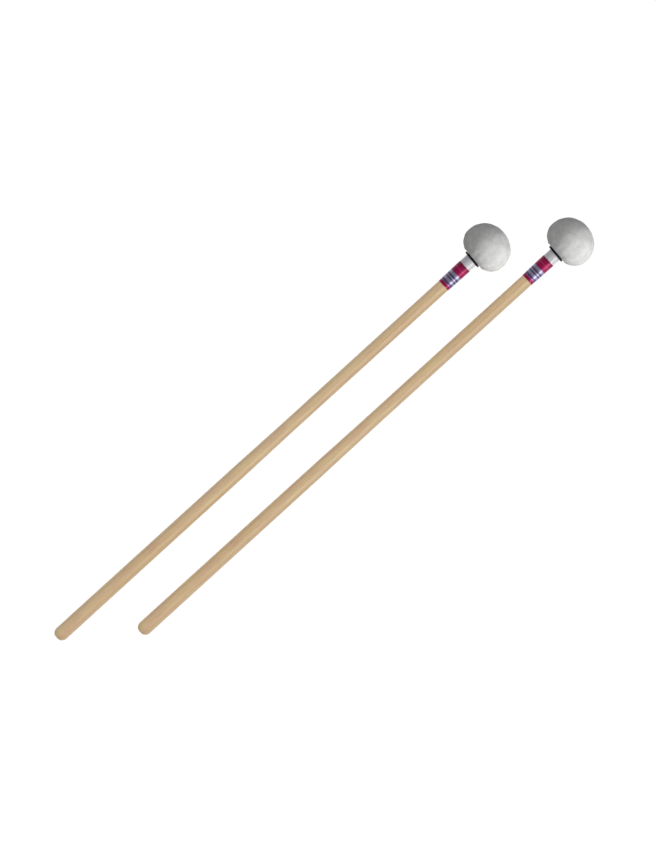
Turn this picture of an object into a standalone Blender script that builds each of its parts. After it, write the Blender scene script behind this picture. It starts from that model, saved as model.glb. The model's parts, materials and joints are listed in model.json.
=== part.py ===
"""A matched pair of felt-headed timpani mallets, lying side by side on a flat surface.

Units are metres and +Z is up. Each mallet lies along +X with its head at the +X end. It rests on
the rim of its butt and on a small flat under its head, so its shaft rises a little to the head.
Every piece is turned, either about the shaft's axis or about the head's, which leans from it.

A mallet's frame has its origin in the middle of the butt's end, +Z along the shaft to the head
and +X pointing down. A head's frame has its origin where the shaft enters the felt's underside.
"""

import math

import bpy
from mathutils import Matrix, Vector

MM = 0.001

# The pair
PAIR_SPACING = 33.2 * MM  # sideways, from shaft to shaft
PAIR_STAGGER = 41.8 * MM  # how far the right mallet lies ahead of the left one

# The whole mallet
LENGTH = 385.0 * MM  # from the butt's end to the crown of the head
HEAD_LEAN = math.radians(3.0)  # of the head from the shaft's axis, to the right
FIT = 0.3 * MM  # gap between pieces that seat on each other
WRAP_FIT = 0.05 * MM  # gap under a film or sleeve that is wrapped on

# Shaft
BUTT_DIAMETER = 9.4 * MM
BUTT_FLAT_DIAMETER = 2.4 * MM
BUTT_ROUNDING = 4.4 * MM  # length of the rounded end
WAIST_DIAMETER = 9.1 * MM
WAIST_PLACE = 158.0 * MM  # from the butt's end to where the shaft starts to slim
SLIMMING_LENGTH = 40.0 * MM
NECK_DIAMETER = 8.5 * MM
TENON_DIAMETER = 6.0 * MM
TENON_CHAMFER = 0.4 * MM

# White sleeve and the label film wrapped over its lower end
SLEEVE_WALL = 0.26 * MM
SLEEVE_EDGE_WALL = 0.06 * MM  # where the sleeve thins out under the label
SLEEVE_SHOWN = 5.4 * MM
LABEL_LENGTH = 18.3 * MM
LABEL_ON_WOOD = 3.2 * MM
LABEL_RAMP = 1.0 * MM  # over which the film climbs from the wood onto the sleeve
FILM_THICKNESS = 0.1 * MM

# Black washer between the sleeve and the head
NECK_WASHER_DIAMETER = 12.4 * MM
NECK_WASHER_THICKNESS = 1.0 * MM
NECK_WASHER_ROUNDING = 0.3 * MM

# Felt head, a flattened ball with a flat underside
HEAD_DIAMETER = 32.4 * MM
CROWN_HEIGHT = 15.2 * MM  # from the widest ring up to the crown
UNDERSIDE_HEIGHT = 10.7 * MM  # from the flat underside up to the widest ring
UNDERSIDE_CUT = 1.3 * MM  # how much further down the underside's curve would close
CROWN_FULLNESS = 2.15  # 2 is an ellipse, and more is squarer
UNDERSIDE_FULLNESS = 2.3
COVER_THICKNESS = 2.6 * MM
LINER_THICKNESS = 2.6 * MM
REST_FLAT_DEPTH = 0.5 * MM  # how deep the head is flattened where it rests

# Thread that gathers the cover round the neck
THREAD_DIAMETER = 0.5 * MM
THREAD_TURNS = 2

# Screw and washer that hold the core on the shaft
SCREW_SHANK_DIAMETER = 2.9 * MM
SCREW_LENGTH = 10.0 * MM  # under its head
SCREW_POINT_LENGTH = 2.5 * MM
SCREW_HEAD_DIAMETER = 5.6 * MM
SCREW_HEAD_HEIGHT = 1.6 * MM
SCREW_HEAD_FULLNESS = 2.6
SCREW_SLOT_WIDTH = 0.8 * MM
SCREW_SLOT_DEPTH = 0.7 * MM
SCREW_WASHER_DIAMETER = 7.6 * MM
SCREW_WASHER_THICKNESS = 0.8 * MM
CORE_WEB = 1.8 * MM  # wood left between the tenon and the screw's washer

# How finely round shapes are made
SHAFT_SEGMENTS = 32
HEAD_SEGMENTS = 36
INNER_SEGMENTS = 28
SMALL_SEGMENTS = 20
THREAD_POINTS = 24  # to a turn
MERGE = 0.01 * MM
SHARP_ANGLE = math.radians(35.0)

# Places worked out from the sizes above. Those along the head are from the felt's underside.
HEAD_HEIGHT = CROWN_HEIGHT + UNDERSIDE_HEIGHT
HEAD_PLACE = LENGTH - HEAD_HEIGHT
LEAN_SLOPE = math.tan(HEAD_LEAN)
LINER_INSET = COVER_THICKNESS + FIT
CORE_INSET = LINER_INSET + LINER_THICKNESS + FIT
WASHER_PLACE = -FIT - NECK_WASHER_THICKNESS
SLEEVE_END = WASHER_PLACE - FIT
LABEL_END = HEAD_PLACE + SLEEVE_END - SLEEVE_SHOWN
THREAD_RADIUS = NECK_DIAMETER / 2 + FIT + CORE_INSET * LEAN_SLOPE + THREAD_DIAMETER / 2
LINER_OPENING = THREAD_RADIUS + THREAD_DIAMETER / 2 + FIT

# Places of the core's fastening, from the butt's end along the shaft
CORE_CROWN = HEAD_PLACE + (HEAD_HEIGHT - CORE_INSET) * math.cos(HEAD_LEAN)
SCREW_SEAT = CORE_CROWN - SCREW_HEAD_HEIGHT - FIT
SCREW_WASHER_PLACE = SCREW_SEAT - FIT - SCREW_WASHER_THICKNESS
COUNTERBORE_FLOOR = SCREW_WASHER_PLACE - FIT
TENON_BORE_END = COUNTERBORE_FLOOR - CORE_WEB
CORE_UNDERSIDE_DIP = NECK_DIAMETER / 2 * math.sin(HEAD_LEAN)
SHOULDER = HEAD_PLACE + (CORE_INSET - FIT - CORE_UNDERSIDE_DIP) / math.cos(HEAD_LEAN)

# How the mallet lies: its butt's rim and its head's flat are both on the surface.
REST_RUN = HEAD_PLACE + UNDERSIDE_HEIGHT * math.cos(HEAD_LEAN) - BUTT_ROUNDING
REST_RISE = (HEAD_DIAMETER - BUTT_DIAMETER) / 2
REST_TILT = math.atan2(REST_RISE, REST_RUN) - math.asin(
    REST_FLAT_DEPTH / math.hypot(REST_RISE, REST_RUN)
)
BUTT_HEIGHT = BUTT_DIAMETER / 2 * math.cos(REST_TILT) - BUTT_ROUNDING * math.sin(REST_TILT)

for old in list(bpy.data.objects):
    bpy.data.objects.remove(old)

parts = bpy.data.collections.new("timpani_mallet_pair")
cutters = bpy.data.collections.new("cutters")
bpy.context.scene.collection.children.link(parts)
bpy.context.scene.collection.children.link(cutters)


def material(name, red, green, blue, roughness, metallic=0.0):
    """A finish from a screen colour of 0 to 255 a channel."""
    made = bpy.data.materials.new(name)
    made.use_nodes = True
    surface = made.node_tree.nodes["Principled BSDF"]
    screen = (red, green, blue)
    linear = [((level / 255 + 0.055) / 1.055) ** 2.4 for level in screen]
    surface.inputs["Base Color"].default_value = (*linear, 1.0)
    surface.inputs["Roughness"].default_value = roughness
    surface.inputs["Metallic"].default_value = metallic
    made.diffuse_color = (*linear, 1.0)
    return made


SHAFT_WOOD = material("shaft_wood", 212, 181, 139, 0.45)
CORE_WOOD = material("core_wood", 224, 202, 168, 0.6)
LABEL_FILM = material("label_film", 158, 12, 74, 0.3, 0.35)
WHITE_VINYL = material("white_vinyl", 236, 236, 240, 0.22)
BLACK_RUBBER = material("black_rubber", 22, 21, 26, 0.5)
COVER_FELT = material("cover_felt", 232, 232, 231, 0.95)
LINER_FELT = material("liner_felt", 214, 212, 206, 0.95)
WHITE_THREAD = material("white_thread", 240, 238, 230, 0.8)
ZINC_STEEL = material("zinc_steel", 178, 180, 184, 0.35, 1.0)


def arc(centre, radii, start, stop, steps):
    """Points of an elliptical arc from start to stop, in degrees from the radial direction."""
    angles = [math.radians(start + (stop - start) * i / steps) for i in range(steps + 1)]
    return [
        (centre[0] + radii[0] * math.cos(a), centre[1] + radii[1] * math.sin(a)) for a in angles
    ]


def bulge(radius, height, fullness, cut, steps):
    """Rings of a bulge that narrows from its widest ring, as (radius, distance from that ring).

    Its curve would close at height + cut, and stops at height.
    """
    power = 2 / fullness
    stop = math.asin((height / (height + cut)) ** (fullness / 2))
    angles = [stop * i / steps for i in range(steps + 1)]
    return [
        (radius * math.cos(a) ** power, (height + cut) * math.sin(a) ** power) for a in angles
    ]


def head_outline(inset, crown_steps, underside_steps):
    """The head's outline, so far inside the felt's surface, from the crown to the flat underside."""
    radius = HEAD_DIAMETER / 2 - inset
    crown = bulge(radius, CROWN_HEIGHT - inset, CROWN_FULLNESS, 0.0, crown_steps)
    underside = bulge(
        radius, UNDERSIDE_HEIGHT - inset, UNDERSIDE_FULLNESS, UNDERSIDE_CUT, underside_steps
    )
    above = [(r, UNDERSIDE_HEIGHT + up) for r, up in reversed(crown)]
    below = [(r, UNDERSIDE_HEIGHT - down) for r, down in underside[1:]]
    return above + below


def empty(name, parent, location, rotation):
    """A frame that pieces are placed in."""
    frame = bpy.data.objects.new(name, None)
    frame.empty_display_size = HEAD_DIAMETER / 2
    frame.parent = parent
    frame.location = location
    frame.rotation_euler = rotation
    parts.objects.link(frame)
    return frame


def place(piece, parent, height, finish):
    """Puts a piece in its parent's frame, at a height on the axis. One without a finish is a cutter."""
    piece.parent = parent
    piece.location = (0.0, 0.0, height)
    if finish is None:
        piece.hide_render = True
        piece.display_type = "WIRE"
        cutters.objects.link(piece)
    else:
        piece.data.materials.append(finish)
        parts.objects.link(piece)
    return piece


def turned(name, outline, parent, height, finish, segments):
    """A turned piece. Its outline of (radius, height) points runs down its outer side.

    An outline that starts on the axis ends there too, and any other is closed into a ring.
    """
    mesh = bpy.data.meshes.new(name)
    edges = [(i, i + 1) for i in range(len(outline) - 1)]
    if outline[0][0] > MERGE:
        edges.append((len(outline) - 1, 0))
    mesh.from_pydata([(radius, 0.0, z) for radius, z in outline], edges, [])
    piece = bpy.data.objects.new(name, mesh)
    turn = piece.modifiers.new("Turn", "SCREW")
    turn.axis = "Z"
    turn.angle = math.tau
    turn.steps = segments
    turn.render_steps = segments
    turn.use_merge_vertices = True
    turn.merge_threshold = MERGE
    return place(piece, parent, height, finish)


def box(name, size, parent, height, finish=None):
    """A box centred on its parent's axis, with its middle at that height."""
    bpy.ops.mesh.primitive_cube_add(size=1.0)
    piece = bpy.context.object
    piece.name = name
    piece.data.transform(Matrix.Diagonal((*size, 1.0)))
    for home in list(piece.users_collection):
        home.objects.unlink(piece)
    return place(piece, parent, height, finish)


def cut(piece, cutter):
    """Takes the cutter's shape out of the piece."""
    boolean = piece.modifiers.new("Cut", "BOOLEAN")
    boolean.operation = "DIFFERENCE"
    boolean.solver = "EXACT"
    boolean.object = cutter


def settle(piece):
    """Swaps a piece's modifiers for their result, smooth but for its sharp edges."""
    bpy.context.view_layer.update()
    evaluated = piece.evaluated_get(bpy.context.evaluated_depsgraph_get())
    mesh = bpy.data.meshes.new_from_object(evaluated)
    piece.modifiers.clear()
    piece.data = mesh
    mesh.name = piece.name
    mesh.shade_smooth()
    mesh.set_sharp_from_angle(angle=SHARP_ANGLE)


def make_shaft(side, mallet):
    """The dowel, from the pilot hole in its tenon down its outside to the rounded butt."""
    pilot = SCREW_SHANK_DIAMETER / 2 + FIT
    pilot_end = SCREW_SEAT - SCREW_LENGTH - FIT
    tenon = TENON_DIAMETER / 2
    tenon_end = TENON_BORE_END - FIT
    flat = BUTT_FLAT_DIAMETER / 2
    rounding = (BUTT_DIAMETER / 2 - flat, BUTT_ROUNDING)
    outline = [
        (0.0, pilot_end),
        (pilot, pilot_end),
        (pilot, tenon_end),
        (tenon - TENON_CHAMFER, tenon_end),
        (tenon, tenon_end - TENON_CHAMFER),
        (tenon, SHOULDER),
        (NECK_DIAMETER / 2, SHOULDER),
        (NECK_DIAMETER / 2, WAIST_PLACE + SLIMMING_LENGTH),
        (WAIST_DIAMETER / 2, WAIST_PLACE),
        *arc((flat, BUTT_ROUNDING), rounding, 0, -90, 6),
        (0.0, 0.0),
    ]
    return turned(f"{side}_shaft", outline, mallet, 0.0, SHAFT_WOOD, SHAFT_SEGMENTS)


def make_sleeve(side, mallet, head):
    """The white sleeve: thin where it starts under the label, and trimmed to face the washer."""
    start = LABEL_END - LABEL_LENGTH + LABEL_ON_WOOD
    hidden = LABEL_LENGTH - LABEL_ON_WOOD
    blank = HEAD_PLACE - start
    inner = NECK_DIAMETER / 2 + WRAP_FIT
    outline = [
        (inner + SLEEVE_WALL, blank),
        (inner + SLEEVE_WALL, hidden),
        (inner + SLEEVE_EDGE_WALL, 0.0),
        (inner, 0.0),
        (inner, blank),
    ]
    sleeve = turned(f"{side}_sleeve", outline, mallet, start, WHITE_VINYL, SHAFT_SEGMENTS)
    trimmer_outline = [
        (0.0, HEAD_HEIGHT),
        (NECK_DIAMETER, HEAD_HEIGHT),
        (NECK_DIAMETER, 0.0),
        (0.0, 0.0),
    ]
    trimmer = turned(
        f"{side}_sleeve_trimmer", trimmer_outline, head, SLEEVE_END, None, SMALL_SEGMENTS
    )
    cut(sleeve, trimmer)
    return sleeve


def make_label(side, mallet):
    """The film: straight on the wood, up a short ramp, and on over the sleeve's slope."""
    on_wood = NECK_DIAMETER / 2 + WRAP_FIT
    on_edge = on_wood + SLEEVE_EDGE_WALL + WRAP_FIT
    on_sleeve = on_wood + SLEEVE_WALL + WRAP_FIT
    inside = [
        (on_wood, 0.0),
        (on_wood, LABEL_ON_WOOD - LABEL_RAMP),
        (on_edge, LABEL_ON_WOOD),
        (on_sleeve, LABEL_LENGTH),
    ]
    outside = [(radius + FILM_THICKNESS, z) for radius, z in reversed(inside)]
    start = LABEL_END - LABEL_LENGTH
    name = f"{side}_label_band"
    return turned(name, outside + inside, mallet, start, LABEL_FILM, SHAFT_SEGMENTS)


def make_neck_washer(side, head):
    """The black washer, rounded at its rim, which leans with the head."""
    radius = NECK_WASHER_DIAMETER / 2
    opening = NECK_DIAMETER / 2 + FIT - WASHER_PLACE * LEAN_SLOPE
    turn_in = radius - NECK_WASHER_ROUNDING
    corner = (NECK_WASHER_ROUNDING, NECK_WASHER_ROUNDING)
    outline = [
        (opening, NECK_WASHER_THICKNESS),
        *arc((turn_in, NECK_WASHER_THICKNESS - NECK_WASHER_ROUNDING), corner, 90, 0, 3),
        *arc((turn_in, NECK_WASHER_ROUNDING), corner, 0, -90, 3),
        (opening, 0.0),
    ]
    name = f"{side}_neck_washer"
    return turned(name, outline, head, WASHER_PLACE, BLACK_RUBBER, SHAFT_SEGMENTS)


def make_cover(side, head, surface):
    """The outer felt: crowned, drawn in to the neck, and flat where the head rests."""
    opening = NECK_DIAMETER / 2 + FIT + COVER_THICKNESS * LEAN_SLOPE
    outside = head_outline(0.0, 9, 6)
    inside = head_outline(COVER_THICKNESS, 5, 4)
    outline = [*outside, (opening, 0.0), (opening, COVER_THICKNESS), *reversed(inside)]
    cover = turned(f"{side}_felt_cover", outline, head, 0.0, COVER_FELT, HEAD_SEGMENTS)
    cut(cover, surface)
    return cover


def make_liner(side, head):
    """The inner felt, with room at the neck for the gather thread."""
    outside = head_outline(LINER_INSET, 5, 4)
    inner = LINER_INSET + LINER_THICKNESS
    inside = head_outline(inner, 5, 4)
    outline = [*outside, (LINER_OPENING, LINER_INSET), (LINER_OPENING, inner), *reversed(inside)]
    return turned(f"{side}_felt_liner", outline, head, 0.0, LINER_FELT, INNER_SEGMENTS)


def make_core(side, mallet, head):
    """The wooden core, bored along the shaft for its tenon, the screw and the screw's washer."""
    outline = [*head_outline(CORE_INSET, 5, 4), (0.0, CORE_INSET)]
    core = turned(f"{side}_head_core", outline, head, 0.0, CORE_WOOD, INNER_SEGMENTS)
    counterbore = SCREW_WASHER_DIAMETER / 2 + FIT
    screw_hole = SCREW_SHANK_DIAMETER / 2 + FIT
    tenon_bore = TENON_DIAMETER / 2 + FIT
    drill_outline = [
        (0.0, LENGTH),
        (counterbore, LENGTH),
        (counterbore, COUNTERBORE_FLOOR),
        (screw_hole, COUNTERBORE_FLOOR),
        (screw_hole, TENON_BORE_END),
        (tenon_bore, TENON_BORE_END),
        (tenon_bore, HEAD_PLACE),
        (0.0, HEAD_PLACE),
    ]
    drill = turned(f"{side}_core_drill", drill_outline, mallet, 0.0, None, SMALL_SEGMENTS)
    cut(core, drill)
    return core


def make_core_screw(side, mallet):
    """The slotted screw: domed head, plain shank and a point, with its origin under its head."""
    shank = SCREW_SHANK_DIAMETER / 2
    dome = bulge(SCREW_HEAD_DIAMETER / 2, SCREW_HEAD_HEIGHT, SCREW_HEAD_FULLNESS, 0.0, 4)
    outline = [
        *reversed(dome),
        (shank, 0.0),
        (shank, SCREW_POINT_LENGTH - SCREW_LENGTH),
        (0.0, -SCREW_LENGTH),
    ]
    name = f"{side}_core_screw"
    screw = turned(name, outline, mallet, SCREW_SEAT, ZINC_STEEL, SMALL_SEGMENTS)
    slot_size = (SCREW_HEAD_DIAMETER * 2, SCREW_SLOT_WIDTH, SCREW_SLOT_DEPTH * 2)
    slot_height = SCREW_SEAT + SCREW_HEAD_HEIGHT
    cut(screw, box(f"{side}_slot_cutter", slot_size, mallet, slot_height))
    return screw


def make_screw_washer(side, mallet):
    """The flat washer under the screw's head."""
    outer = SCREW_WASHER_DIAMETER / 2
    inner = SCREW_SHANK_DIAMETER / 2 + FIT
    outline = [
        (outer, SCREW_WASHER_THICKNESS),
        (outer, 0.0),
        (inner, 0.0),
        (inner, SCREW_WASHER_THICKNESS),
    ]
    name = f"{side}_screw_washer"
    return turned(name, outline, mallet, SCREW_WASHER_PLACE, ZINC_STEEL, SMALL_SEGMENTS)


def coil(radius, pitch, turns, lead):
    """Points of a helix about +Z, which runs on straight for the lead at both ends."""
    count = turns * THREAD_POINTS
    angles = [math.tau * i / THREAD_POINTS for i in range(count + 1)]
    points = [
        Vector((radius * math.cos(a), radius * math.sin(a), pitch * a / math.tau)) for a in angles
    ]
    run_in = (points[0] - points[1]).normalized() * lead
    run_out = (points[-1] - points[-2]).normalized() * lead
    return [points[0] + run_in, *points, points[-1] + run_out]


def make_gather_thread(side, head):
    """The thread wound round the neck, in the thickness of the liner."""
    pitch = (LINER_THICKNESS - THREAD_DIAMETER) / THREAD_TURNS
    points = coil(THREAD_RADIUS, pitch, THREAD_TURNS, THREAD_DIAMETER)
    curve = bpy.data.curves.new(f"{side}_gather_thread", "CURVE")
    curve.dimensions = "3D"
    curve.bevel_depth = THREAD_DIAMETER / 2
    curve.bevel_resolution = 2
    curve.use_fill_caps = True
    spline = curve.splines.new("POLY")
    spline.points.add(len(points) - 1)
    for spot, point in zip(spline.points, points):
        spot.co = (*point, 1.0)
    thread = bpy.data.objects.new(curve.name, curve)
    place(thread, head, LINER_INSET + THREAD_DIAMETER / 2, WHITE_THREAD)
    half = THREAD_POINTS // 2
    pairs = [(a, b) for i, a in enumerate(points) for b in points[i + half :]]
    gap = min((a - b).length for a, b in pairs) - THREAD_DIAMETER
    print(f"{thread.name}: least gap to itself {gap / MM:.2f} mm")


def make_mallet(side, root, x, y, surface):
    """One mallet, all its pieces in the frames of its shaft and of its leaning head."""
    lying = (0.0, math.pi / 2 - REST_TILT, 0.0)
    mallet = empty(f"{side}_mallet", root, (x, y, BUTT_HEIGHT), lying)
    head = empty(f"{side}_head", mallet, (0.0, 0.0, HEAD_PLACE), (HEAD_LEAN, 0.0, 0.0))
    made = [
        make_shaft(side, mallet),
        make_sleeve(side, mallet, head),
        make_label(side, mallet),
        make_neck_washer(side, head),
        make_cover(side, head, surface),
        make_liner(side, head),
        make_core(side, mallet, head),
        make_core_screw(side, mallet),
        make_screw_washer(side, mallet),
    ]
    make_gather_thread(side, head)
    for piece in made:
        settle(piece)
    return made


def centre_on_origin(root, pieces):
    """Moves the pair so that the middle of its outline, seen from above, is the origin."""
    corners = [piece.matrix_world @ vertex.co for piece in pieces for vertex in piece.data.vertices]
    for axis in (0, 1):
        places = [corner[axis] for corner in corners]
        root.location[axis] -= (min(places) + max(places)) / 2
    bpy.context.view_layer.update()


def print_faces(pieces):
    """Says where the flat ends of the butts and the flats under the heads are."""
    for piece in pieces:
        if piece.name.endswith(("_shaft", "_felt_cover")):
            turn = piece.matrix_world.to_3x3()
            downwards = piece.name.endswith("_felt_cover")
            facing = Vector((0.0, 0.0, -1.0)) if downwards else turn @ Vector((0.0, 0.0, -1.0))
            flat = [f for f in piece.data.polygons if (turn @ f.normal).dot(facing) > 0.99999]
            area = sum(face.area for face in flat)
            middle = sum((face.center * face.area for face in flat), Vector()) / area
            point = piece.matrix_world @ middle
            print(f"{piece.name}: flat at {tuple(point)}, facing {tuple(facing)}, {area / MM**2:.2f} mm2")


pair = empty("mallet_pair", None, (0.0, 0.0, 0.0), (0.0, 0.0, 0.0))
surface_size = (LENGTH * 4, LENGTH * 4, HEAD_DIAMETER)
surface_cutter = box("surface_cutter", surface_size, pair, -HEAD_DIAMETER / 2)
left = make_mallet("left", pair, -PAIR_STAGGER / 2, PAIR_SPACING / 2, surface_cutter)
right = make_mallet("right", pair, PAIR_STAGGER / 2, -PAIR_SPACING / 2, surface_cutter)
centre_on_origin(pair, left + right)
print_faces(left + right)
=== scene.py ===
"""How the pair of timpani mallets looks: its wood, film, felt, surface, light and camera."""

import json
import math

import bpy
from mathutils import Matrix, Vector, noise


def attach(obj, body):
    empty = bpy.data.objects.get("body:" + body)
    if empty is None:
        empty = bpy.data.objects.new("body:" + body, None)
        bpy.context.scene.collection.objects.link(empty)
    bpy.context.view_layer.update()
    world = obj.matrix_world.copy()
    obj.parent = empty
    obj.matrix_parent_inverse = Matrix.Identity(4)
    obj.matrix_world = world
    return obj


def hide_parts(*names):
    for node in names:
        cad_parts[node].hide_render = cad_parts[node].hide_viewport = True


MM = 0.001
SIDES = ("left", "right")

# Sizes of the part, which the finer pieces here keep to
LENGTH = 385.0 * MM
HEAD_LEAN = math.radians(3.0)
BUTT_DIAMETER = 9.4 * MM
BUTT_FLAT_DIAMETER = 2.4 * MM
BUTT_ROUNDING = 4.4 * MM
WAIST_DIAMETER = 9.1 * MM
WAIST_PLACE = 158.0 * MM
SLIMMING_LENGTH = 40.0 * MM
NECK_DIAMETER = 8.5 * MM
TENON_DIAMETER = 6.0 * MM
HEAD_DIAMETER = 32.4 * MM
CROWN_HEIGHT = 15.2 * MM
UNDERSIDE_HEIGHT = 10.7 * MM
UNDERSIDE_CUT = 1.3 * MM
CROWN_FULLNESS = 2.15
UNDERSIDE_FULLNESS = 2.3
COVER_THICKNESS = 2.6 * MM
HEAD_HEIGHT = CROWN_HEIGHT + UNDERSIDE_HEIGHT
HEAD_PLACE = LENGTH - HEAD_HEIGHT
LABEL_START = 333.8 * MM
LABEL_END = 352.1 * MM
SHOULDER = 364.5 * MM
TENON_END = 374.0 * MM
WRAP_GAP = 0.05 * MM
SLEEVE_WALL = 0.26 * MM
SLEEVE_START = LABEL_END - 1.5 * MM
SLEEVE_END = HEAD_PLACE - 0.9 * MM
FILM_THICKNESS = 0.1 * MM
WASHER_DIAMETER = 12.4 * MM
WASHER_THICKNESS = 1.28 * MM
WASHER_EDGE = 0.34 * MM
WASHER_OPENING = NECK_DIAMETER + 0.68 * MM
WASHER_PLACE = -1.3 * MM
FELT_OPENING = NECK_DIAMETER + 0.88 * MM

# Fineness of the turned pieces
SEGMENTS = 64
FELT_SEGMENTS = 128
ON_AXIS = 1e-6
SHARP_ANGLE = math.radians(38.0)

# Camera, surface, sky and what the spots face
VIEW_HEIGHT = 4.527
VIEW_AT = (0.00616, 0.00099)
VIEW_TURN = math.radians(-42.31)
LENS = 300.0
SURFACE_SIZE = 60.0
SURFACE_GLOW = 0.95
SKY_ABOVE = 0.37
SKY_BELOW = 0.08
HORIZON_BLUR = 0.3
SPOT_SPREAD = math.radians(40.0)
HEADS = (0.18, 0.0, 0.015)
NECKS = (0.15, 0.0, 0.015)

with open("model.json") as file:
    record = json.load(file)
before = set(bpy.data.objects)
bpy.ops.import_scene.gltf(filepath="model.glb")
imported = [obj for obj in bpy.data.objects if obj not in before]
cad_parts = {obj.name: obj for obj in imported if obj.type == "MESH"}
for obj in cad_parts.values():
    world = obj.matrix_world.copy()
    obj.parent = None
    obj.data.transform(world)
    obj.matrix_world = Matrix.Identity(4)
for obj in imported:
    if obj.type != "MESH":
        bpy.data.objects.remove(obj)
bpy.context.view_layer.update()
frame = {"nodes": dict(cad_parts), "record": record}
mounts = {mount["name"]: mount for mount in frame["record"]["mounts"]}
shown = bpy.context.scene.collection


def linear(red, green, blue):
    """A screen colour of 0 to 255 a channel as the shader's colour."""
    levels = [level / 255 for level in (red, green, blue)]
    return (*[v / 12.92 if v < 0.04 else ((v + 0.055) / 1.055) ** 2.4 for v in levels], 1.0)


def grey(level):
    """A colourless value for a shader's colour."""
    return (level, level, level, 1.0)


WHITE = grey(1.0)


class Shader:
    """A material under construction, with short ways to add its nodes."""

    def __init__(self, name, roughness, metallic=0.0):
        self.material = bpy.data.materials.new(name)
        self.material.use_nodes = True
        self.tree = self.material.node_tree
        self.surface = self.tree.nodes["Principled BSDF"]
        self.surface.inputs["Roughness"].default_value = roughness
        self.surface.inputs["Metallic"].default_value = metallic
        self.place = self.add("ShaderNodeTexCoord").outputs["Object"]

    def add(self, kind, **settings):
        """A new node with these settings."""
        node = self.tree.nodes.new(kind)
        for name, value in settings.items():
            setattr(node, name, value)
        return node

    def link(self, source, target):
        """Joins an output to an input."""
        self.tree.links.new(source, target)

    def set(self, **values):
        """Constants on the shader's own sockets, by name with _ for a space."""
        for name, value in values.items():
            self.surface.inputs[name.replace("_", " ")].default_value = value

    def scaled(self, scale):
        """The object's own coordinates, scaled on each axis."""
        mapping = self.add("ShaderNodeMapping")
        mapping.inputs["Scale"].default_value = scale
        self.link(self.place, mapping.inputs["Vector"])
        return mapping.outputs["Vector"]

    def noise(self, scale, detail=3.0, roughness=0.5, distortion=0.0):
        """Noise with features of about 1/scale metres on each axis."""
        texture = self.add("ShaderNodeTexNoise")
        texture.inputs["Scale"].default_value = 1.0
        texture.inputs["Detail"].default_value = detail
        texture.inputs["Roughness"].default_value = roughness
        texture.inputs["Distortion"].default_value = distortion
        self.link(self.scaled(scale), texture.inputs["Vector"])
        return texture.outputs["Fac"]

    def ramp(self, source, stops, interpolation="LINEAR"):
        """Colours by value: stops of (value, linear colour)."""
        node = self.add("ShaderNodeValToRGB")
        ramp = node.color_ramp
        ramp.interpolation = interpolation
        while len(ramp.elements) < len(stops):
            ramp.elements.new(0.5)
        for element, (value, colour) in zip(ramp.elements, stops):
            element.position = value
            element.color = colour
        self.link(source, node.inputs["Fac"])
        return node.outputs["Color"]

    def span(self, source, low, high, new_low=0.0, new_high=1.0):
        """The value mapped from one range to another."""
        node = self.add("ShaderNodeMapRange")
        for name, value in (("From Min", low), ("From Max", high), ("To Min", new_low), ("To Max", new_high)):
            node.inputs[name].default_value = value
        self.link(source, node.inputs["Value"])
        return node.outputs["Result"]

    def multiply(self, first, second, share=1.0):
        """One colour darkened by another."""
        node = self.add("ShaderNodeMix", data_type="RGBA", blend_type="MULTIPLY")
        node.inputs["Factor"].default_value = share
        self.link(first, node.inputs["A"])
        self.link(second, node.inputs["B"])
        return node.outputs["Result"]

    def math(self, operation, first, second):
        """Two values, each a socket or a number, joined by an operation."""
        node = self.add("ShaderNodeMath", operation=operation)
        for socket, value in zip(node.inputs, (first, second)):
            if isinstance(value, float):
                socket.default_value = value
            else:
                self.link(value, socket)
        return node.outputs["Value"]

    def colour(self, source):
        """The shader's colour from a socket."""
        self.link(source, self.surface.inputs["Base Color"])

    def rough(self, source):
        """The shader's roughness from a socket."""
        self.link(source, self.surface.inputs["Roughness"])

    def bump(self, source, distance, strength=1.0):
        """Relief of that height, in metres."""
        node = self.add("ShaderNodeBump")
        node.inputs["Strength"].default_value = strength
        node.inputs["Distance"].default_value = distance
        self.link(source, node.inputs["Height"])
        self.link(node.outputs["Normal"], self.surface.inputs["Normal"])


def wood(name, pale, dark, roughness):
    """Straight-grained wood with fine pores, its grain along the object's own Z."""
    made = Shader(name, roughness)
    bands = made.noise((260.0, 260.0, 9.0), detail=4.0, distortion=0.6)
    pores = made.noise((2600.0, 2600.0, 90.0), detail=2.0)
    clouds = made.noise((230.0, 230.0, 45.0), detail=3.0)
    base = made.ramp(bands, [(0.30, linear(*dark)), (0.52, linear(*pale)), (0.75, linear(*pale))])
    fine = made.ramp(pores, [(0.30, (0.80, 0.76, 0.70, 1.0)), (0.46, WHITE)])
    mottle = made.ramp(clouds, [(0.36, (0.96, 0.88, 0.94, 1.0)), (0.62, (1.0, 1.0, 0.95, 1.0))])
    made.colour(made.multiply(made.multiply(base, fine, 0.6), mottle))
    made.rough(made.span(bands, 0.3, 0.7, roughness + 0.05, roughness - 0.03))
    made.bump(pores, 0.00003, 0.5)
    return made


SHAFT = wood("shaft_wood", (238, 209, 161), (229, 193, 147), 0.42)
SHAFT.set(Coat_Weight=0.25, Coat_Roughness=0.28)
CORE = wood("core_wood", (226, 204, 170), (206, 178, 138), 0.62)

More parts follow.
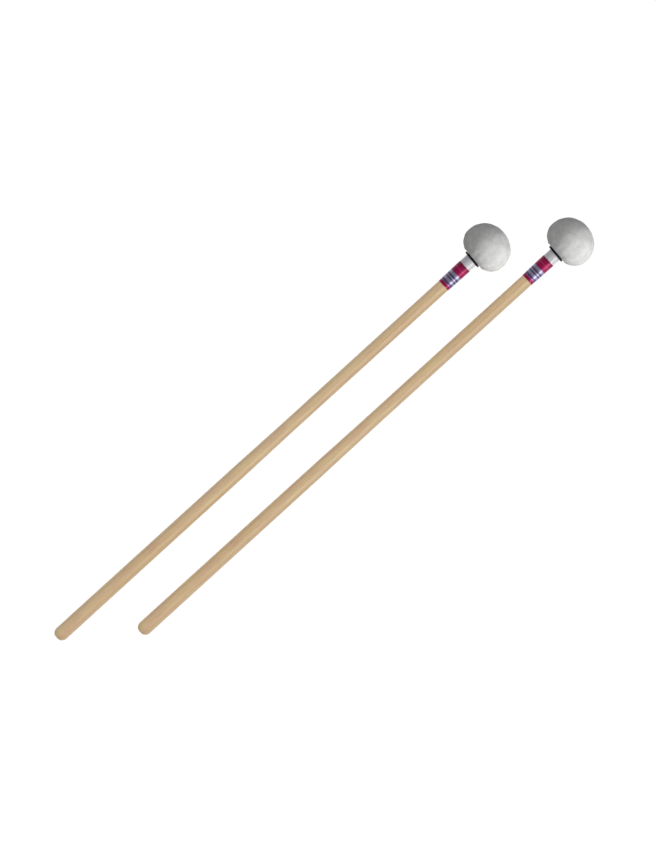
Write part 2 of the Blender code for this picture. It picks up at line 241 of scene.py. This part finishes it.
# Plain bands of the label film, as (distance from the butt's end in mm, screen colour, metal)
DYED = 0.15
BARE = 0.7
CRIMSON = (172, 0, 82)
LILAC = (150, 98, 160)
SILVER = (164, 158, 188)
SLATE = (122, 114, 140)
DUSK = (86, 78, 108)
ROSE = (200, 50, 120)
PLUM = (136, 14, 66)
BANDS = [
    (333.8, CRIMSON, DYED),
    (335.75, LILAC, BARE),
    (336.5, DUSK, BARE),
    (337.25, SLATE, BARE),
    (337.75, SILVER, BARE),
    (339.3, SLATE, BARE),
    (339.85, DUSK, BARE),
    (340.4, SILVER, BARE),
    (341.3, DUSK, BARE),
    (342.2, SLATE, BARE),
    (342.7, SILVER, BARE),
    (344.4, SLATE, BARE),
    (344.8, CRIMSON, DYED),
    (348.0, ROSE, DYED),
    (348.55, CRIMSON, DYED),
    (350.7, PLUM, DYED),
]
FILM = Shader("label_film", 0.38, BARE)
along = FILM.add("ShaderNodeSeparateXYZ")
FILM.link(FILM.place, along.inputs["Vector"])
across = FILM.span(along.outputs["Z"], LABEL_START, LABEL_END)
starts = [(start * MM - LABEL_START) / (LABEL_END - LABEL_START) for start, _, _ in BANDS]
tints = [(place, linear(*screen)) for place, (_, screen, _) in zip(starts, BANDS)]
metals = [(place, grey(metal)) for place, (_, _, metal) in zip(starts, BANDS)]
worn = FILM.noise((900.0, 900.0, 900.0), detail=3.0)
patina = FILM.ramp(worn, [(0.3, (0.86, 0.86, 0.88, 1.0)), (0.6, WHITE)])
FILM.colour(FILM.multiply(FILM.ramp(across, tints, "CONSTANT"), patina))
FILM.rough(FILM.span(worn, 0.3, 0.7, 0.32, 0.40))
FILM.link(FILM.ramp(across, metals, "CONSTANT"), FILM.surface.inputs["Metallic"])
FILM.set(Coat_Weight=0.08, Coat_Roughness=0.15, Specular_IOR_Level=0.25)

VINYL = Shader("white_vinyl", 0.35)
cast = VINYL.noise((300.0, 300.0, 120.0), detail=2.0)
VINYL.colour(VINYL.ramp(cast, [(0.3, linear(222, 221, 227)), (0.7, linear(236, 235, 240))]))
VINYL.set(Coat_Weight=0.6, Coat_Roughness=0.25)

RUBBER = Shader("black_rubber", 0.5)
grime = RUBBER.noise((1500.0, 1500.0, 1500.0), detail=3.0)
RUBBER.colour(RUBBER.ramp(grime, [(0.3, linear(12, 10, 15)), (0.7, linear(20, 18, 24))]))
RUBBER.bump(grime, 0.00004, 0.6)
RUBBER.set(Specular_IOR_Level=0.2)


def felt(name, pale, shade):
    """Pressed wool: short tangled fibres over soft lumps."""
    made = Shader(name, 0.95)
    fibres = made.noise((2400.0, 2400.0, 2400.0), detail=4.0, roughness=0.65, distortion=1.2)
    lumps = made.noise((210.0, 210.0, 210.0), detail=4.0, distortion=0.8)
    # The fibres and the lumps are darker where they sit low in the bump: painted shade in the felt's hollows,
    # over a random mottle.
    base = made.ramp(fibres, [(0.30, linear(*shade)), (0.60, linear(*pale))])
    mottle_and_hollow_shade = made.ramp(lumps, [(0.36, grey(0.86)), (0.58, WHITE)])
    made.colour(made.multiply(base, mottle_and_hollow_shade))
    height = made.math("ADD", fibres, made.math("MULTIPLY", lumps, 2.2))
    made.bump(height, 0.00022, 0.55)
    made.set(Sheen_Weight=0.25, Sheen_Roughness=0.6, Specular_IOR_Level=0.15)
    return made


COVER = felt("cover_felt", (233, 233, 232), (204, 204, 203))
LINER = felt("liner_felt", (218, 216, 209), (198, 195, 187))

THREAD = Shader("white_thread", 0.8)
strands = THREAD.noise((5000.0, 5000.0, 5000.0), detail=2.0)
THREAD.colour(THREAD.ramp(strands, [(0.3, linear(226, 223, 213)), (0.7, linear(243, 241, 234))]))
THREAD.bump(strands, 0.00005, 0.6)

STEEL = Shader("zinc_steel", 0.35, 1.0)
brushed = STEEL.noise((4000.0, 4000.0, 400.0), detail=3.0)
STEEL.colour(STEEL.ramp(brushed, [(0.3, linear(168, 170, 176)), (0.7, linear(190, 192, 196))]))
STEEL.rough(STEEL.span(brushed, 0.3, 0.7, 0.28, 0.42))

KEPT_NODES = {
    "felt_liner": LINER,
    "head_core": CORE,
    "core_screw": STEEL,
    "screw_washer": STEEL,
    "gather_thread": THREAD,
}


def lathe(name, outline, segments, matrix, finish, displace=None):
    """A fine turned piece, its outline of (radius, height) points running down its outer side."""
    closed = outline[0][0] > ON_AXIS
    turn = [(math.cos(math.tau * k / segments), math.sin(math.tau * k / segments)) for k in range(segments)]
    points, rings, faces = [], [], []
    for radius, height in outline:
        if radius < ON_AXIS:
            rings.append([len(points)] * segments)
            points.append(Vector((0.0, 0.0, height)))
        else:
            rings.append(list(range(len(points), len(points) + segments)))
            points.extend(Vector((radius * x, radius * y, height)) for x, y in turn)
    pairs = list(zip(rings, rings[1:]))
    if closed:
        pairs.append((rings[-1], rings[0]))
    for upper, lower in pairs:
        for k in range(segments):
            corners = [upper[k], lower[k], lower[(k + 1) % segments], upper[(k + 1) % segments]]
            face = list(dict.fromkeys(corners))
            if len(face) > 2:
                faces.append(face)
    if displace:
        points = [displace(point) for point in points]
    mesh = bpy.data.meshes.new(name)
    mesh.from_pydata(points, [], faces)
    mesh.shade_smooth()
    mesh.set_sharp_from_angle(angle=SHARP_ANGLE)
    mesh.materials.append(finish.material)
    piece = bpy.data.objects.new(name, mesh)
    piece.matrix_world = matrix
    shown.objects.link(piece)
    return piece


def arc(centre, radii, start, stop, steps):
    """Points on an ellipse's arc, its angles in degrees."""
    angles = [math.radians(start + (stop - start) * i / steps) for i in range(steps + 1)]
    return [(centre[0] + radii[0] * math.cos(a), centre[1] + radii[1] * math.sin(a)) for a in angles]


def bulge(radius, height, fullness, cut_off, steps):
    """A rounded side from its widest place to a height, fuller than an ellipse above 2."""
    power = 2 / fullness
    stop = math.asin((height / (height + cut_off)) ** (fullness / 2))
    angles = [stop * i / steps for i in range(steps + 1)]
    return [(radius * math.cos(a) ** power, (height + cut_off) * math.sin(a) ** power) for a in angles]


def head_outline(inset, crown_steps, underside_steps):
    """The head's side from crown to underside, at this depth below its surface."""
    radius = HEAD_DIAMETER / 2 - inset
    crown = bulge(radius, CROWN_HEIGHT - inset, CROWN_FULLNESS, 0.0, crown_steps)
    underside = bulge(radius, UNDERSIDE_HEIGHT - inset, UNDERSIDE_FULLNESS, UNDERSIDE_CUT, underside_steps)
    above = [(r, UNDERSIDE_HEIGHT + up) for r, up in reversed(crown)]
    return above + [(r, UNDERSIDE_HEIGHT - down) for r, down in underside[1:]]


def shaft_radius(z):
    """The shaft's radius at a distance from the butt's end."""
    if z < WAIST_PLACE:
        t = max(0.0, (z - BUTT_ROUNDING) / (WAIST_PLACE - BUTT_ROUNDING))
        return (BUTT_DIAMETER + (WAIST_DIAMETER - BUTT_DIAMETER) * t) / 2
    t = min(1.0, (z - WAIST_PLACE) / SLIMMING_LENGTH)
    return (WAIST_DIAMETER + (NECK_DIAMETER - WAIST_DIAMETER) * t) / 2


def mallet_matrix(side):
    """The mallet's own frame: its origin at the butt's end, Z along the shaft, X down."""
    mount = mounts[f"{side}_butt_end"]
    shaft = -Vector(mount["axis"]).normalized()
    sideways = Vector((0.0, 1.0, 0.0))
    down = sideways.cross(shaft)
    turn = Matrix((down, sideways, shaft)).transposed().to_4x4()
    return Matrix.Translation(Vector(mount["pos_m"])) @ turn


def make_shaft(side, matrix):
    """The shaft: tenon, tapered side and rounded butt."""
    flat = BUTT_FLAT_DIAMETER / 2
    rounding = (BUTT_DIAMETER / 2 - flat, BUTT_ROUNDING)
    steps = 90
    stations = [SHOULDER + (BUTT_ROUNDING - SHOULDER) * i / steps for i in range(steps)]
    outline = [
        (0.0, TENON_END),
        (TENON_DIAMETER / 2, TENON_END),
        (TENON_DIAMETER / 2, SHOULDER),
        *[(shaft_radius(z), z) for z in stations],
        *arc((flat, BUTT_ROUNDING), rounding, 0, -90, 16),
        (0.0, 0.0),
    ]
    return lathe(f"{side}_turned_shaft", outline, SEGMENTS, matrix, SHAFT)


def make_sleeve(side, matrix):
    """The white sleeve, from under the label to under the washer."""
    inner = NECK_DIAMETER / 2 + WRAP_GAP
    outer = inner + SLEEVE_WALL

    def trim(point):
        """Leans the sleeve's end with the head."""
        lean = point.y * math.tan(HEAD_LEAN)
        return Vector((point.x, point.y, point.z + lean)) if point.z > LABEL_END else point

    outline = [
        (outer - 0.05 * MM, SLEEVE_END),
        (outer, SLEEVE_END - 0.06 * MM),
        (outer, LABEL_END + 2 * MM),
        (outer, SLEEVE_START),
        (inner, SLEEVE_START),
        (inner, SLEEVE_END),
    ]
    return lathe(f"{side}_neck_sleeve", outline, SEGMENTS, matrix, VINYL, trim)


def make_label(side, matrix):
    """The label film, which widens from the shaft on to the sleeve."""
    inner = NECK_DIAMETER / 2 + WRAP_GAP
    inside = [
        (inner, LABEL_START),
        (inner, LABEL_START + 2.2 * MM),
        (inner + 0.11 * MM, LABEL_START + 3.2 * MM),
        (inner + SLEEVE_WALL + WRAP_GAP, LABEL_END),
    ]
    outside = [(radius + FILM_THICKNESS, z) for radius, z in reversed(inside)]
    return lathe(f"{side}_label_film", outside + inside, SEGMENTS, matrix, FILM)


def make_washer(side, head):
    """The washer, with a rounded edge, square to the head."""
    edge = WASHER_DIAMETER / 2 - WASHER_EDGE
    rounding = (WASHER_EDGE, WASHER_EDGE)
    outline = [
        (WASHER_OPENING / 2, WASHER_THICKNESS),
        *arc((edge, WASHER_THICKNESS - WASHER_EDGE), rounding, 90, 0, 6),
        *arc((edge, WASHER_EDGE), rounding, 0, -90, 6),
        (WASHER_OPENING / 2, 0.0),
    ]
    matrix = head @ Matrix.Translation((0.0, 0.0, WASHER_PLACE))
    return lathe(f"{side}_rubber_washer", outline, SEGMENTS, matrix, RUBBER)


def make_cover(side, head):
    """The felt: soft lumps and creases all over, and faint pleats where it is drawn in."""
    opening = FELT_OPENING / 2
    firm_radius = 5.5 * MM
    middle = Vector((0.0, 0.0, UNDERSIDE_HEIGHT))
    crease_place = Vector((7.0, 3.0, 1.0))

    def soften(point):
        """Moves a point of the felt in or out by its lump, crease and pleat, which are in mm."""
        if math.hypot(point.x, point.y) < firm_radius:
            return point
        out = (point - middle).normalized()
        lump = noise.noise(point * 130.0) * 0.14 + noise.noise(point * 330.0) * 0.07
        bent = point + Vector((0.0, 0.0, noise.noise(point * 90.0) * 6.0 * MM))
        crease = (abs(noise.noise(bent * 150.0 + crease_place)) - 0.25) * 0.32
        low = max(0.0, 1.0 - point.z / (UNDERSIDE_HEIGHT * 0.75))
        angle = math.atan2(point.y, point.x)
        pleat = (math.cos(angle * 17.0 + 1.3 * math.sin(angle * 3.0)) - 1.0) * 0.10 * low
        moved = point + out * ((lump + crease + pleat - 0.16) * MM)
        moved.z = max(moved.z, 0.0)
        return moved

    outline = [
        *head_outline(0.0, 44, 26),
        *[(radius * MM, 0.0) for radius in (9.0, 7.5, 6.0)],
        (opening, 0.0),
        (opening, COVER_THICKNESS),
        *reversed(head_outline(COVER_THICKNESS, 14, 10)),
    ]
    outline = [p for i, p in enumerate(outline) if i == 0 or p != outline[i - 1]]
    cover = lathe(f"{side}_felt_head", outline, FELT_SEGMENTS, head, COVER, soften)
    # The felt is flat where it would be below the surface
    for vertex in cover.data.vertices:
        world = cover.matrix_world @ vertex.co
        if world.z < 0.0:
            world.z = 0.0
            vertex.co = cover.matrix_world.inverted() @ world
    return cover


# Pieces that share a light of their own
felted = bpy.data.collections.new("lit_by_the_head_light")
necked = bpy.data.collections.new("lit_by_the_neck_light")
wooden = bpy.data.collections.new("lit_by_the_shaft_panels")

for side in SIDES:
    mallet = mallet_matrix(side)
    head_frame = mallet @ Matrix.Translation((0.0, 0.0, HEAD_PLACE)) @ Matrix.Rotation(HEAD_LEAN, 4, "X")
    for node, finish in KEPT_NODES.items():
        kept = frame["nodes"][f"{side}_{node}"]
        kept.data.materials.clear()
        kept.data.materials.append(finish.material)
    pieces = [
        (make_shaft(side, mallet), "shaft", "shaft_wood", wooden),
        (make_sleeve(side, mallet), "sleeve", "white_vinyl", necked),
        (make_label(side, mallet), "label_band", "label_film", necked),
        (make_washer(side, head_frame), "neck_washer", "black_rubber", necked),
        (make_cover(side, head_frame), "felt_cover", "cover_felt", felted),
    ]
    for piece, node, slot, lit_together in pieces:
        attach(piece, f"{side}_mallet")
        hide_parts(f"{side}_{node}")
        lit_together.objects.link(piece)


def make_surface():
    """The plain white surface that the mallets lie on, lit from inside so that shadows stay faint."""
    mesh = bpy.data.meshes.new("surface")
    half = SURFACE_SIZE / 2
    corners = [(-half, -half, 0), (half, -half, 0), (half, half, 0), (-half, half, 0)]
    mesh.from_pydata(corners, [], [(0, 1, 2, 3)])
    finish = Shader("surface_white", 0.9)
    tone = finish.noise((3.0, 3.0, 3.0))
    finish.colour(finish.ramp(tone, [(0.3, grey(0.29)), (0.7, grey(0.31))]))
    finish.set(Emission_Color=WHITE, Emission_Strength=SURFACE_GLOW)
    mesh.materials.append(finish.material)
    surface = bpy.data.objects.new("surface", mesh)
    surface.visible_diffuse = False
    shown.objects.link(surface)


def aim(lamp, place, target):
    """Puts a light at a place, facing the target."""
    lamp.location = place
    lamp.rotation_euler = (Vector(target) - Vector(place)).to_track_quat("-Z", "Y").to_euler()
    shown.objects.link(lamp)


def make_panel(name, place, size, power, pieces=None):
    """A soft round panel of light that faces the middle of the pair, on some pieces or on all."""
    light = bpy.data.lights.new(name, "AREA")
    light.shape = "DISK"
    light.size = size
    light.energy = power
    lamp = bpy.data.objects.new(name, light)
    lamp.light_linking.receiver_collection = pieces
    aim(lamp, place, (0.0, 0.0, 0.0))


def make_spot(name, place, target, softness, power, pieces):
    """A light that fades out round what it faces, and falls on these pieces only."""
    light = bpy.data.lights.new(name, "SPOT")
    light.spot_size = SPOT_SPREAD
    light.spot_blend = 1.0
    light.shadow_soft_size = softness
    light.energy = power
    lamp = bpy.data.objects.new(name, light)
    lamp.light_linking.receiver_collection = pieces
    aim(lamp, place, target)


def make_sky():
    """An even white studio sky, darker below the horizon."""
    world = bpy.data.worlds.new("studio")
    world.use_nodes = True
    nodes, links = world.node_tree.nodes, world.node_tree.links
    backdrop = nodes["Background"]
    backdrop.inputs["Color"].default_value = WHITE
    direction = nodes.new("ShaderNodeTexCoord")
    split = nodes.new("ShaderNodeSeparateXYZ")
    level = nodes.new("ShaderNodeMapRange")
    level.inputs["From Min"].default_value = -HORIZON_BLUR
    level.inputs["From Max"].default_value = HORIZON_BLUR
    level.inputs["To Min"].default_value = SKY_BELOW
    level.inputs["To Max"].default_value = SKY_ABOVE
    links.new(direction.outputs["Generated"], split.inputs["Vector"])
    links.new(split.outputs["Z"], level.inputs["Value"])
    links.new(level.outputs["Result"], backdrop.inputs["Strength"])
    bpy.context.scene.world = world


def make_camera():
    """A camera that looks straight down from high above, as the photograph does."""
    camera = bpy.data.cameras.new("camera")
    camera.lens = LENS
    camera.clip_end = 50.0
    viewer = bpy.data.objects.new("camera", camera)
    viewer.location = (*VIEW_AT, VIEW_HEIGHT)
    viewer.rotation_euler = (0.0, 0.0, VIEW_TURN)
    shown.objects.link(viewer)
    bpy.context.scene.camera = viewer


make_surface()
make_panel("side_panel", (0.0, -1.0, 0.9), size=0.8, power=1.8)
make_panel("shaft_panel_right", (0.0, -0.9, 0.8), size=1.0, power=4.0, pieces=wooden)
make_panel("shaft_panel_left", (0.0, 0.9, 0.8), size=1.0, power=3.0, pieces=wooden)
make_spot("head_light", (0.25, -0.65, 0.29), HEADS, softness=0.20, power=22.5, pieces=felted)
make_spot("neck_light", (0.17, -0.60, 0.36), NECKS, softness=0.22, power=13.0, pieces=necked)
make_sky()
make_camera()
bpy.context.scene.view_settings.view_transform = "Standard"
